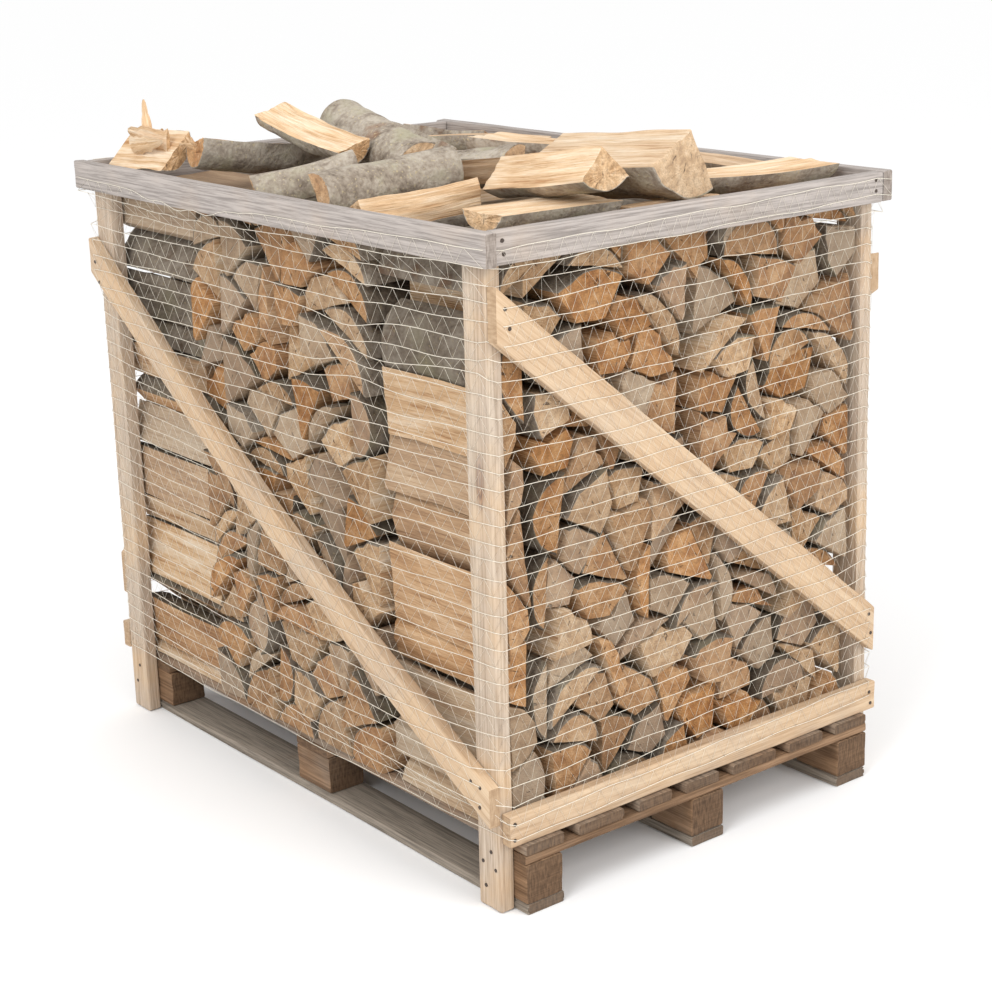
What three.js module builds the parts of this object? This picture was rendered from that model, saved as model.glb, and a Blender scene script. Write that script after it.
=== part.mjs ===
// A nailed firewood crate on a block pallet: corner posts, a frame of boards round the top,
// one diagonal brace on each side, a net wound round the outside, three stacks of split logs
// and a heap of loose logs on top. Millimetres, +Z up. The pallet's long side runs along X.
import * as THREE from 'three';

// Driving dimensions.
const GAP = 0.3; // left between pieces that touch
const PALLET = { length: 1200, width: 796 };
const SKID = { width: 78, thick: 18 };
const BLOCK = { length: 100, width: 75, height: 68 };
const STRINGER = { width: 100, thick: 16 };
const DECK = { thick: 18, widths: [80, 100, 76, 80, 108, 88, 84] };
const BOARD_THICK = 22; // top boards, braces and rails
const POST = { alongX: 57, alongY: 27, foot: 2, top: 1066, outerRight: 570, outerLeft: -603 };
const TOP_FRAME = { bottom: 1038, top: 1090 };
const NEAR_BOARD = { left: -632, right: 599 };
const FAR_BOARD = { left: -640, right: 592 };
const LONG_BRACE = { halfHeight: 34, centre: 554, slope: -0.62, bow: 34, high: -583, low: 589 };
const BRACE_STEPS = 8; // straight lengths that make up a brace's sag
const END_BRACE = { halfHeight: 43, centre: 619, slope: -0.82, near: -424, far: 419 };
const RAIL = { height: 54, near: -421, far: 427 };
const FAR_LEAN = THREE.MathUtils.degToRad(1); // the +Y side leans in towards the top
const LEAN_ROOM = 18; // how much narrower the load and the short top boards are, for that lean
const NET = { clear: 1.2, wall: 0.8, bottom: 122, shoulder: 1034, rim: 1037, top: 1087, leanIn: 10 };
const STACK = { top: 1050, endDepth: 316, gap: 3, inset: 2 };

// Levels that follow from them.
const BLOCK_BASE = SKID.thick + GAP;
const STRINGER_BASE = BLOCK_BASE + BLOCK.height;
const DECK_BASE = STRINGER_BASE + STRINGER.thick + GAP;
const DECK_TOP = DECK_BASE + DECK.thick;
const POST_INNER_Y = PALLET.width / 2 + GAP;
const POST_OUTER_Y = POST_INNER_Y + POST.alongY;
const BOARD_INNER_Y = POST_OUTER_Y + GAP;
const BOARD_OUTER_Y = BOARD_INNER_Y + BOARD_THICK;
const RIGHT_INNER_X = POST.outerRight + GAP;
const LEFT_INNER_X = POST.outerLeft - GAP;
const MIDDLE_X = (POST.outerLeft + POST.outerRight) / 2;

const material = (color, roughness) => new THREE.MeshStandardMaterial({ color, roughness, metalness: 0 });
const FRESH_WOOD = material(0xd8bd94, 0.8);
const GREY_WOOD = material(0xa79f96, 0.85);
const PALLET_WOOD = material(0x8a6f55, 0.9);
const SPLIT_WOOD = material(0xd79a58, 0.85);
const BARK = material(0x80806a, 0.95);
const NET_CORD = material(0xe9e2d2, 0.5);

function addMesh(parent, name, geometry, look) {
  const mesh = new THREE.Mesh(geometry, look);
  mesh.name = name;
  parent.add(mesh);
  return mesh;
}

// A board or block given by two opposite corners.
function addBox(parent, name, from, to, look) {
  const box = new THREE.Box3().setFromPoints([from, to]);
  const size = box.getSize(new THREE.Vector3());
  const geometry = new THREE.BoxGeometry(size.x, size.y, size.z);
  const mesh = addMesh(parent, name, geometry, look);
  box.getCenter(mesh.position);
  return mesh;
}

const corner = (x, y, z) => new THREE.Vector3(x, y, z);

// Pallet: three skids on the floor, nine blocks, three stringers across and a gapped deck.
function buildPallet(parent) {
  const halfLength = PALLET.length / 2;
  const halfWidth = PALLET.width / 2;
  const rows = [-1, 0, 1];
  rows.forEach((row, i) => {
    const skidY = row * (halfWidth - SKID.width / 2);
    addBox(parent, `skid_${i + 1}`, corner(-halfLength, skidY - SKID.width / 2, 0),
      corner(halfLength, skidY + SKID.width / 2, SKID.thick), PALLET_WOOD);
    const stringerX = row * (halfLength - STRINGER.width / 2);
    addBox(parent, `stringer_${i + 1}`,
      corner(stringerX - STRINGER.width / 2, -halfWidth, STRINGER_BASE + GAP),
      corner(stringerX + STRINGER.width / 2, halfWidth, DECK_BASE - GAP), PALLET_WOOD);
    rows.forEach((column, j) => {
      const x = column * (halfLength - BLOCK.length / 2);
      const y = row * (halfWidth - BLOCK.width / 2);
      addBox(parent, `block_${i + 1}_${j + 1}`, corner(x - BLOCK.length / 2, y - BLOCK.width / 2, BLOCK_BASE),
        corner(x + BLOCK.length / 2, y + BLOCK.width / 2, STRINGER_BASE), PALLET_WOOD);
    });
  });
  const covered = DECK.widths.reduce((sum, width) => sum + width, 0);
  const space = (PALLET.width - covered) / (DECK.widths.length - 1);
  let y = -halfWidth;
  DECK.widths.forEach((width, i) => {
    addBox(parent, `deck_board_${i + 1}`, corner(-halfLength, y, DECK_BASE),
      corner(halfLength, y + width, DECK_TOP), PALLET_WOOD);
    y += width + space;
  });
}

// A board cut square at both ends along X, whose centre line sags by bow between them.
function bowedBrace(left, right, centreAt, halfHeight, bow) {
  const upper = [];
  const lower = [];
  for (let i = 0; i <= BRACE_STEPS; i += 1) {
    const x = THREE.MathUtils.lerp(left, right, i / BRACE_STEPS);
    const sag = bow * Math.sin(Math.PI * i / BRACE_STEPS);
    upper.push(new THREE.Vector2(x, centreAt(x) + halfHeight - sag));
    lower.push(new THREE.Vector2(x, centreAt(x) - halfHeight - sag));
  }
  const shape = new THREE.Shape([...lower, ...upper.reverse()]);
  return new THREE.ExtrudeGeometry(shape, { depth: BOARD_THICK, bevelEnabled: false });
}

// One long side: two posts, the top board and the sagging brace, all seen from -Y.
function buildLongSide(parent, side, board, mirror) {
  const lefts = [POST.outerLeft, POST.outerRight - POST.alongX];
  lefts.forEach((left, i) => {
    addBox(parent, `post_${side}_${i === 0 ? 'left' : 'right'}`,
      corner(left, mirror * POST_OUTER_Y, POST.foot),
      corner(left + POST.alongX, mirror * POST_INNER_Y, POST.top), FRESH_WOOD);
  });
  addBox(parent, `top_board_${side}`, corner(board.left, mirror * BOARD_OUTER_Y, TOP_FRAME.bottom),
    corner(board.right, mirror * BOARD_INNER_Y, TOP_FRAME.top), GREY_WOOD);
  const centreAt = (x) => LONG_BRACE.centre - mirror * LONG_BRACE.slope * (x - MIDDLE_X);
  const ends = [LONG_BRACE.high, LONG_BRACE.low].map((x) => MIDDLE_X - mirror * x).sort((a, b) => a - b);
  const brace = bowedBrace(ends[0], ends[1], centreAt, LONG_BRACE.halfHeight, LONG_BRACE.bow);
  const mesh = addMesh(parent, `brace_${side}`, brace, FRESH_WOOD);
  mesh.rotation.x = Math.PI / 2;
  mesh.position.y = mirror < 0 ? -BOARD_INNER_Y : BOARD_OUTER_Y;
}

// One short side: the top board between the long ones, the brace and the low rail.
function buildShortSide(parent, side, innerX, mirror) {
  const outerX = innerX + mirror * BOARD_THICK;
  const lowX = Math.min(innerX, outerX);
  const highX = Math.max(innerX, outerX);
  addBox(parent, `top_board_${side}`, corner(lowX, -BOARD_INNER_Y + GAP, TOP_FRAME.bottom),
    corner(highX, BOARD_INNER_Y - LEAN_ROOM, TOP_FRAME.top), GREY_WOOD);
  const near = mirror > 0 ? RAIL.near : -RAIL.far;
  addBox(parent, `rail_${side}`, corner(lowX, near, DECK_TOP + GAP),
    corner(highX, near + RAIL.far - RAIL.near, DECK_TOP + RAIL.height), FRESH_WOOD);
  const centreAt = (y) => END_BRACE.centre + mirror * END_BRACE.slope * y;
  const ends = [mirror * END_BRACE.near, mirror * END_BRACE.far].sort((a, b) => a - b);
  const brace = bowedBrace(ends[0], ends[1], centreAt, END_BRACE.halfHeight, 0);
  const mesh = addMesh(parent, `brace_${side}`, brace, FRESH_WOOD);
  mesh.rotation.set(Math.PI / 2, 0, Math.PI / 2, 'ZYX');
  mesh.position.x = lowX;
}

// The net: a thin skin round the crate, wider where it passes over the ends of the top boards.
function buildNet(parent) {
  const body = { left: LEFT_INNER_X - BOARD_THICK, right: RIGHT_INNER_X + BOARD_THICK, near: -BOARD_OUTER_Y };
  const rim = { left: FAR_BOARD.left, right: NEAR_BOARD.right, near: -BOARD_OUTER_Y };
  const levels = [
    { ...body, far: BOARD_OUTER_Y, z: NET.bottom },
    { ...body, far: BOARD_OUTER_Y, z: NET.shoulder },
    { ...rim, far: BOARD_OUTER_Y - NET.leanIn, z: NET.rim },
    { ...rim, far: BOARD_OUTER_Y - NET.leanIn, z: NET.top },
  ];
  const ring = (level, off) => [
    corner(level.left - off, level.near - off, level.z), corner(level.right + off, level.near - off, level.z),
    corner(level.right + off, level.far + off, level.z), corner(level.left - off, level.far + off, level.z),
  ];
  const outer = levels.map((level) => ring(level, NET.clear + NET.wall));
  const inner = levels.map((level) => ring(level, NET.clear));
  const loop = [...outer, ...inner.reverse()];
  const points = loop.flat();
  const index = [];
  for (let i = 0; i < loop.length; i += 1) {
    const next = (i + 1) % loop.length;
    for (let j = 0; j < 4; j += 1) {
      const side = (j + 1) % 4;
      const [a, b, c, d] = [i * 4 + j, i * 4 + side, next * 4 + side, next * 4 + j];
      index.push(a, b, c, a, c, d);
    }
  }
  const geometry = new THREE.BufferGeometry().setFromPoints(points);
  geometry.setIndex(index);
  addMesh(parent, 'net', geometry, NET_CORD);
}

// Stacks: logs lying along X fill each end, logs lying along Y fill the middle.
function buildStacks(parent) {
  const right = POST.outerRight - STACK.inset;
  const left = POST.outerLeft + STACK.inset;
  const base = DECK_TOP + GAP;
  const near = -POST_INNER_Y + STACK.inset;
  const far = POST_INNER_Y - LEAN_ROOM;
  addBox(parent, 'stack_right', corner(right - STACK.endDepth, near, base),
    corner(right, far, STACK.top), SPLIT_WOOD);
  addBox(parent, 'stack_left', corner(left, near, base),
    corner(left + STACK.endDepth, far, STACK.top), SPLIT_WOOD);
  addBox(parent, 'stack_middle', corner(left + STACK.endDepth + STACK.gap, -POST_OUTER_Y + STACK.gap, base),
    corner(right - STACK.endDepth - STACK.gap, POST_OUTER_Y - STACK.gap - LEAN_ROOM, STACK.top), SPLIT_WOOD);
}

const CHORDS = 5; // flat faces that stand for the bark of a loose log

// Section of a split log, about its pith: the bark is an arc of equal chords, and the split
// faces run in to the pith, to a chord near it, or straight across from end to end.
const SECTIONS = {
  quarter: { radius: 96, half: 44, inner: 0 },
  wedge: { radius: 112, half: 30, inner: 10 },
  half: { radius: 68, half: 90, inner: null },
  slab: { radius: 70, half: 62, inner: null },
  block: { radius: 104, half: 26, inner: 36 },
};

function logSection({ radius, half, inner }, scale) {
  const arc = THREE.MathUtils.degToRad(half);
  const points = [];
  for (let i = 0; i <= CHORDS; i += 1) {
    const angle = -arc + (2 * arc * i) / CHORDS;
    points.push(new THREE.Vector2(radius * Math.cos(angle), radius * Math.sin(angle)));
  }
  if (inner === 0) points.push(new THREE.Vector2(0, 0));
  if (inner > 0) {
    points.push(new THREE.Vector2(inner * Math.cos(arc), inner * Math.sin(arc)));
    points.push(new THREE.Vector2(inner * Math.cos(arc), -inner * Math.sin(arc)));
  }
  const centre = points.reduce((sum, p) => sum.add(p), new THREE.Vector2()).divideScalar(points.length);
  return points.map((p) => p.sub(centre).multiplyScalar(scale));
}

// Loose logs of the heap: section, middle of the log (x, y, z), turn of its axis about Z,
// slope of its axis, roll of the bark from upward, length and size of the section.
const HEAP = [
  ['slab', 440, -205, 1071, 86, 0, 180, 230, 0.9],
  ['slab', 494, 22, 1064, 88, 0, 176, 200, 0.5],
  ['block', 257, -308, 1083, 87, 3, 88, 225, 0.6],
  ['half', 118, -262, 1106, 90, 3, 62, 272, 0.62],
  ['half', -340, -226, 1097, 80, -6, 166, 245, 0.72],
  ['slab', -46, -318, 1099, 65, 11, 60, 180, 0.5],
  ['slab', 430, 262, 1078, 82, 0, 180, 270, 1.05],
  ['half', -30, 200, 1088, 15, 0, 178, 290, 0.85],
  ['slab', -480, 120, 1076, 94, 0, 6, 240, 0.9],
  ['half', -290, 250, 1074, 40, 0, 175, 270, 0.6],
  ['block', -470, 300, 1075, 8, 0, 84, 230, 0.5],
  ['slab', 240, 345, 1072, 0, 0, 180, 220, 0.8],
  ['quarter', -450, -60, 1078, 4, 0, 20, 220, 0.4],
  ['quarter', 375, 6, 1097, 4, 5, 161, 290, 1.18],
  ['quarter', 385, -137, 1107, 0, 8, 180, 250, 0.735],
  ['block', 25, -55, 1108, 12, 6, 10, 270, 0.8],
  ['wedge', -190, 12, 1103, -5, -8, 70, 290, 0.62],
  ['half', -115, -137, 1134, -8, -9, 60, 300, 0.8],
  ['half', -192, -204, 1146, -2, -9, 196, 280, 0.56],
  ['slab', -505, -352, 1100, 5, 3, 222, 180, 0.8],
];

function buildHeap(parent) {
  HEAP.forEach(([kind, x, y, z, turn, slope, roll, length, scale], i) => {
    const shape = new THREE.Shape(logSection(SECTIONS[kind], scale));
    const log = new THREE.ExtrudeGeometry(shape, { depth: length, bevelEnabled: false });
    log.translate(0, 0, -length / 2);
    log.rotateY(-Math.PI / 2); // the bark faces up and the axis lies along X
    log.rotateX(THREE.MathUtils.degToRad(roll));
    log.rotateY(-THREE.MathUtils.degToRad(slope));
    log.rotateZ(THREE.MathUtils.degToRad(turn));
    const name = `loose_log_${String(i + 1).padStart(2, '0')}`;
    addMesh(parent, name, log, kind === 'block' ? SPLIT_WOOD : BARK).position.set(x, y, z);
  });
}

const crate = new THREE.Group();
const farSide = new THREE.Group();
buildPallet(crate);
buildLongSide(crate, 'near', NEAR_BOARD, -1);
buildLongSide(farSide, 'far', FAR_BOARD, 1);
// The far side leans about the line where its posts meet the deck.
farSide.position.set(0, PALLET.width / 2, DECK_TOP);
farSide.children.forEach((mesh) => mesh.position.add(corner(0, -PALLET.width / 2, -DECK_TOP)));
farSide.rotation.x = FAR_LEAN;
crate.add(farSide);
buildShortSide(crate, 'right', RIGHT_INNER_X, 1);
buildShortSide(crate, 'left', LEFT_INNER_X, -1);
buildNet(crate);
buildStacks(crate);
buildHeap(crate);

// The origin stands on the floor under the middle of the whole crate's outline.
const object = new THREE.Group();
object.add(crate);
const box = new THREE.Box3().setFromObject(object);
crate.position.set(-(box.min.x + box.max.x) / 2, -(box.min.y + box.max.y) / 2, 0);
export default object;
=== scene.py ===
import bpy
import numpy as np
from mathutils import Matrix, Vector


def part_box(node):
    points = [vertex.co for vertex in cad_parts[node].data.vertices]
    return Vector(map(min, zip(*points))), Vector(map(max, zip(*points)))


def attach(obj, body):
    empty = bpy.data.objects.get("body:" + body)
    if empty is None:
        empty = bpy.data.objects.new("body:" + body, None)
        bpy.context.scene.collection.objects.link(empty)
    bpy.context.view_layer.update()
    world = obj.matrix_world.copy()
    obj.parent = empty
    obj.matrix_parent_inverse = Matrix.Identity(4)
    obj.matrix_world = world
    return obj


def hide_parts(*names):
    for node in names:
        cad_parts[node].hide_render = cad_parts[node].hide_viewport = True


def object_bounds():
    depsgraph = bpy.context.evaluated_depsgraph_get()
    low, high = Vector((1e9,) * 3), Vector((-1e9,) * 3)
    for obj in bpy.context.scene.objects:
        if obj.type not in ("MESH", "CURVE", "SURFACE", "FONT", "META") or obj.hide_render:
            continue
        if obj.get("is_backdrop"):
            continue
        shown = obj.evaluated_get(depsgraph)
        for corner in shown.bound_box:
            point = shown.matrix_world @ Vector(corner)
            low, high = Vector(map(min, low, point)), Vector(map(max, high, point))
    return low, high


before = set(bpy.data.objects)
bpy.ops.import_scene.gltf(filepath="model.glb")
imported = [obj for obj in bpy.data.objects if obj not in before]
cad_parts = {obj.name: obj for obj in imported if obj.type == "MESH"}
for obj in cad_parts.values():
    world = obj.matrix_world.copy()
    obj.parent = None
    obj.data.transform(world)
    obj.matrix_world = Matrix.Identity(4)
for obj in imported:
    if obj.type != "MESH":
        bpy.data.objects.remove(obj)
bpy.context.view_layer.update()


# Camera: a long lens held a little above the top boards, off the corner between the near long
# side and the right short side, and tipped a degree and a half.
pallet_low, pallet_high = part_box("skid_2")
pallet_middle = (pallet_low + pallet_high) / 2
CAMERA_TURN, CAMERA_RISE, CAMERA_ROLL = np.radians((51.553, 16.757, -1.464))
CAMERA_DISTANCE = 3.7574
CAMERA_LENS, SENSOR_WIDTH = 73.17, 36
aim = Vector((pallet_middle.x + 0.0232, pallet_middle.y + 0.0181, 0.4742))
away = Vector((np.sin(CAMERA_TURN) * np.cos(CAMERA_RISE), -np.cos(CAMERA_TURN) * np.cos(CAMERA_RISE),
               np.sin(CAMERA_RISE)))
camera = bpy.data.objects.new("camera", bpy.data.cameras.new("camera"))
camera.data.lens = CAMERA_LENS
camera.data.sensor_width = SENSOR_WIDTH
place = Matrix.Translation(aim + CAMERA_DISTANCE * away)
camera.matrix_world = place @ (-away).to_track_quat("-Z", "Y").to_matrix().to_4x4() @ Matrix.Rotation(
    CAMERA_ROLL, 4, "Z")
bpy.context.scene.collection.objects.link(camera)
bpy.context.scene.camera = camera


# Floor: a wide pale sheet that the pallet stands on, with plain soft studio light from all round
# a large lamp above the near long side and a weaker one off the right short side.
def shade(red, green, blue):
    """A paint colour given as it looks on a screen, 0 to 255, turned into linear light."""
    screen = np.array((red, green, blue)) / 255
    linear = np.where(screen < 0.04045, screen / 12.92, ((screen + 0.055) / 1.055) ** 2.4)
    return (*(float(part) for part in linear), 1.0)


class Paint:
    """A material in the making: each method adds one node and gives back its output socket."""

    def __init__(self, name, roughness=0.8, gloss=0.2):
        self.material = bpy.data.materials.new(name)
        self.material.use_nodes = True
        self.tree = self.material.node_tree
        self.shader = self.tree.nodes["Principled BSDF"]
        self.shader.inputs["Roughness"].default_value = roughness
        self.shader.inputs["Specular IOR Level"].default_value = gloss

    def add(self, kind, output, inputs, **settings):
        node = self.tree.nodes.new("ShaderNode" + kind)
        for key, value in settings.items():
            setattr(node, key, value)
        for key, value in inputs.items():
            if isinstance(value, bpy.types.NodeSocket):
                self.tree.links.new(value, node.inputs[key])
            else:
                node.inputs[key].default_value = value
        return node.outputs[output]

    def uv(self):
        return self.add("UVMap", 0, {}, uv_map="UVMap")

    def place(self):
        return self.add("TexCoord", "Object", {})

    def face(self, name):
        return self.add("Attribute", "Fac", {}, attribute_name=name)

    def stretch(self, vector, scale, shift=(0, 0, 0)):
        return self.add("Mapping", 0, {"Vector": vector, "Scale": scale, "Location": shift})

    def noise(self, vector, scale, detail=3.0, rough=0.55):
        inputs = {"Vector": vector, "Scale": scale, "Detail": detail, "Roughness": rough}
        return self.add("TexNoise", "Fac", inputs)

    def maths(self, operation, first, second=0.0):
        return self.add("Math", 0, {0: first, 1: second}, operation=operation)

    def times(self, value, factor):
        return self.maths("MULTIPLY", value, factor)

    def weigh(self, first, first_part, second, second_part):
        """The two values added together, each times its own part."""
        return self.maths("ADD", self.times(first, first_part), self.times(second, second_part))

    def steps(self, value, low, high):
        inputs = {"Value": value, "From Min": low, "From Max": high}
        return self.add("MapRange", 0, inputs, interpolation_type="SMOOTHSTEP")

    def ramp(self, value, *stops):
        colour = self.add("ValToRGB", "Color", {"Fac": value})
        elements = colour.node.color_ramp.elements
        while len(elements) < len(stops):
            elements.new(0.5)
        for element, (position, tint) in zip(elements, stops):
            element.position = position
            element.color = tint
        return colour

    def mix(self, share, first, second, blend="MIX"):
        inputs = {0: share, 6: first, 7: second}
        return self.add("Mix", 2, inputs, data_type="RGBA", blend_type=blend)

    def glaze(self, cover, strength, under, over):
        """The colour over laid on under where cover is high, at this strength."""
        return self.mix(self.times(cover, strength), under, over)

    def finish(self, colour, height=None, depth=0.001):
        self.tree.links.new(colour, self.shader.inputs["Base Color"])
        if height is not None:
            bump = self.add("Bump", 0, {"Height": height, "Distance": depth, "Strength": 1.0})
            self.tree.links.new(bump, self.shader.inputs["Normal"])
        return self.material


FLOOR_REACH = 90.0
floor_mesh = bpy.data.meshes.new("floor")
floor_mesh.from_pydata([(x, y, 0) for x, y in ((-1, -1), (1, -1), (1, 1), (-1, 1))], [], [(0, 1, 2, 3)])
floor_mesh.transform(Matrix.Diagonal((FLOOR_REACH, FLOOR_REACH, 1, 1)) @ Matrix.Translation((0, 0, -0.0005)))
floor = bpy.data.objects.new("floor", floor_mesh)
floor_paint = Paint("studio_floor", 0.9, 0.0)
floor_paint.shader.inputs["Base Color"].default_value = (0.9, 0.9, 0.9, 1)
floor_mesh.materials.append(floor_paint.material)
bpy.context.scene.collection.objects.link(floor)
floor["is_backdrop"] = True

world = bpy.data.worlds.new("studio")
world.use_nodes = True
world.node_tree.nodes["Background"].inputs["Color"].default_value = (1.0, 1.0, 1.0, 1)
world.node_tree.nodes["Background"].inputs["Strength"].default_value = 1.1
bpy.context.scene.world = world
bpy.context.scene.view_settings.view_transform = "Standard"


def area_lamp(name, position, size, power):
    """A square soft lamp that looks at the middle of the crate."""
    light = bpy.data.lights.new(name, "AREA")
    light.size = size
    light.energy = power
    lamp = bpy.data.objects.new(name, light)
    look = aim - Vector(position)
    lamp.matrix_world = Matrix.Translation(position) @ look.to_track_quat("-Z", "Y").to_matrix().to_4x4()
    bpy.context.scene.collection.objects.link(lamp)


area_lamp("key_lamp", (1.6, -3.4, 3.6), 1.8, 90)
area_lamp("side_lamp", (3.8, 0.4, 2.4), 2.0, 55)


# Pallet: rough boards and blocks of brown softwood, nailed together. Each board is its own piece,
# a sawn plank with slightly rounded, uneven edges.
def ripple(points, rng, lengths, waves=12):
    """Uneven relief at points (... x 3): a sum of sine waves with random directions and phases, whose
    wavelengths along X, Y and Z are near lengths; it stays within about -1 to 1."""
    direction = rng.normal(size=(waves, 3)) / np.array(lengths)
    phase = rng.uniform(0, 2 * np.pi, waves)
    return np.sin(points @ direction.T * 2 + phase).sum(-1) / np.sqrt(waves)


# Face marks that every piece carries: its tone, its weathering, and a painted shade that darkens logs lying
# in shadow deep in a stack.
LOOKS = ("tone", "aged", "painted_shade")


def closed_skin(rings, lengthwise, across, cap_bands, bark, section, rim, looks):
    """Joins K rings of N points (K x N x 3) into a closed skin, with a fan at each end.
    lengthwise and across are K x (N + 1) grids of metres along and round the piece; faces in cap_bands
    take their place in section (K x (N + 1) x 2) instead. bark marks the N side faces that are bark, rim
    the bands of a cap where the bark's own thickness shows, and looks holds the piece's tone, age and
    painted shade, each 0 to 1; the painted shade darkens its colour where it lies in shadow."""
    count, around = rings.shape[:2]
    k, n = np.meshgrid(np.arange(count - 1), np.arange(around), indexing="ij")
    m = (n + 1) % around
    quads = np.stack([k * around + n, k * around + m, (k + 1) * around + m, (k + 1) * around + n], -1)
    side_uv = np.stack([lengthwise, across], -1)
    grid = np.where(cap_bands[:, None, None, None], 1.0, 0.0)

    def corners(uv):
        return np.stack([uv[:-1, :-1], uv[:-1, 1:], uv[1:, 1:], uv[1:, :-1]], 2)

    quad_uv = corners(side_uv) * (1 - grid) + corners(section) * grid
    ring = np.arange(around)
    after = (ring + 1) % around
    first = np.stack([np.full(around, count * around), after, ring], -1)
    last = np.stack([np.full(around, count * around + 1), (count - 1) * around + ring,
                     (count - 1) * around + after], -1)
    middles = np.stack([rings[0].mean(0), rings[-1].mean(0)])
    start, end = section[0], section[-1]
    start_middle, end_middle = (np.repeat(cap[:-1].mean(0)[None], around, 0) for cap in (start, end))
    uv_first = np.stack([start_middle, start[1:], start[:-1]], 1)
    uv_last = np.stack([end_middle, end[:-1], end[1:]], 1)
    bark_quads = np.where(cap_bands[:, None], rim[:, None] * bark[None], bark[None])
    cut_quads = np.repeat(cap_bands[:, None].astype(float), around, 1)
    return {
        "points": np.concatenate([rings.reshape(-1, 3), middles]),
        "quads": quads.reshape(-1, 4),
        "fans": np.concatenate([first, last]),
        "quad_uv": quad_uv.reshape(-1, 2),
        "fan_uv": np.concatenate([uv_first, uv_last]).reshape(-1, 2),
        "bark": np.concatenate([bark_quads.ravel(), np.zeros(2 * around)]),
        "cut": np.concatenate([cut_quads.ravel(), np.ones(2 * around)]),
        **{look: np.full((count - 1) * around + 2 * around, value) for look, value in zip(LOOKS, looks)},
    }


def plain_skin(rings, lengthwise, across, looks):
    """A closed skin with no bark and no sawn ends of its own."""
    count, around = rings.shape[:2]
    return closed_skin(rings, lengthwise, across, np.zeros(count - 1, bool), np.zeros(around),
                       np.zeros((count, around + 1, 2)), np.zeros(count - 1), looks)


def make_piece(name, skins, material, replaced, crease=38):
    """One object from closed skins, with its UV map and face marks, riding on the crate's one body."""
    mesh = bpy.data.meshes.new(name)
    shift = np.cumsum([0] + [len(skin["points"]) for skin in skins])
    quads = np.concatenate([skin["quads"] + s for skin, s in zip(skins, shift)])
    fans = np.concatenate([skin["fans"] + s for skin, s in zip(skins, shift)])
    points = np.concatenate([skin["points"] for skin in skins])
    mesh.vertices.add(len(points))
    mesh.vertices.foreach_set("co", points.ravel().astype(np.float32))
    mesh.loops.add(quads.size + fans.size)
    mesh.loops.foreach_set("vertex_index", np.concatenate([quads.ravel(), fans.ravel()]).astype(np.int32))
    mesh.polygons.add(len(quads) + len(fans))
    starts = np.concatenate([np.arange(len(quads)) * 4, quads.size + np.arange(len(fans)) * 3])
    mesh.polygons.foreach_set("loop_start", starts.astype(np.int32))
    uv = np.concatenate([skin["quad_uv"] for skin in skins] + [skin["fan_uv"] for skin in skins])
    mesh.update(calc_edges=True)
    mesh.uv_layers.new(name="UVMap").data.foreach_set("uv", uv.ravel().astype(np.float32))
    split = [len(skin["quads"]) for skin in skins]
    for mark in ("bark", "cut", *LOOKS):
        values = [skin[mark][:q] for skin, q in zip(skins, split)]
        values += [skin[mark][q:] for skin, q in zip(skins, split)]
        attribute = mesh.attributes.new(mark, "FLOAT", "FACE")
        attribute.data.foreach_set("value", np.concatenate(values).astype(np.float32))
    mesh.shade_smooth()
    mesh.set_sharp_from_angle(angle=np.radians(crease))
    mesh.materials.append(material)
    piece = bpy.data.objects.new(name, mesh)
    bpy.context.scene.collection.objects.link(piece)
    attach(piece, "root")
    if replaced:
        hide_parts(*replaced)
    return piece


def node_points(name):
    """The points of a solid of the frame, each once."""
    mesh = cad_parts[name].data
    points = np.empty(len(mesh.vertices) * 3, np.float32)
    mesh.vertices.foreach_get("co", points)
    return np.unique(points.reshape(-1, 3).round(5), axis=0).astype(float)


END_STEP = 0.002
END_ROUNDING = 0.0015
CUT_RINGS = np.array([0.82, 0.35])


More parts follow.
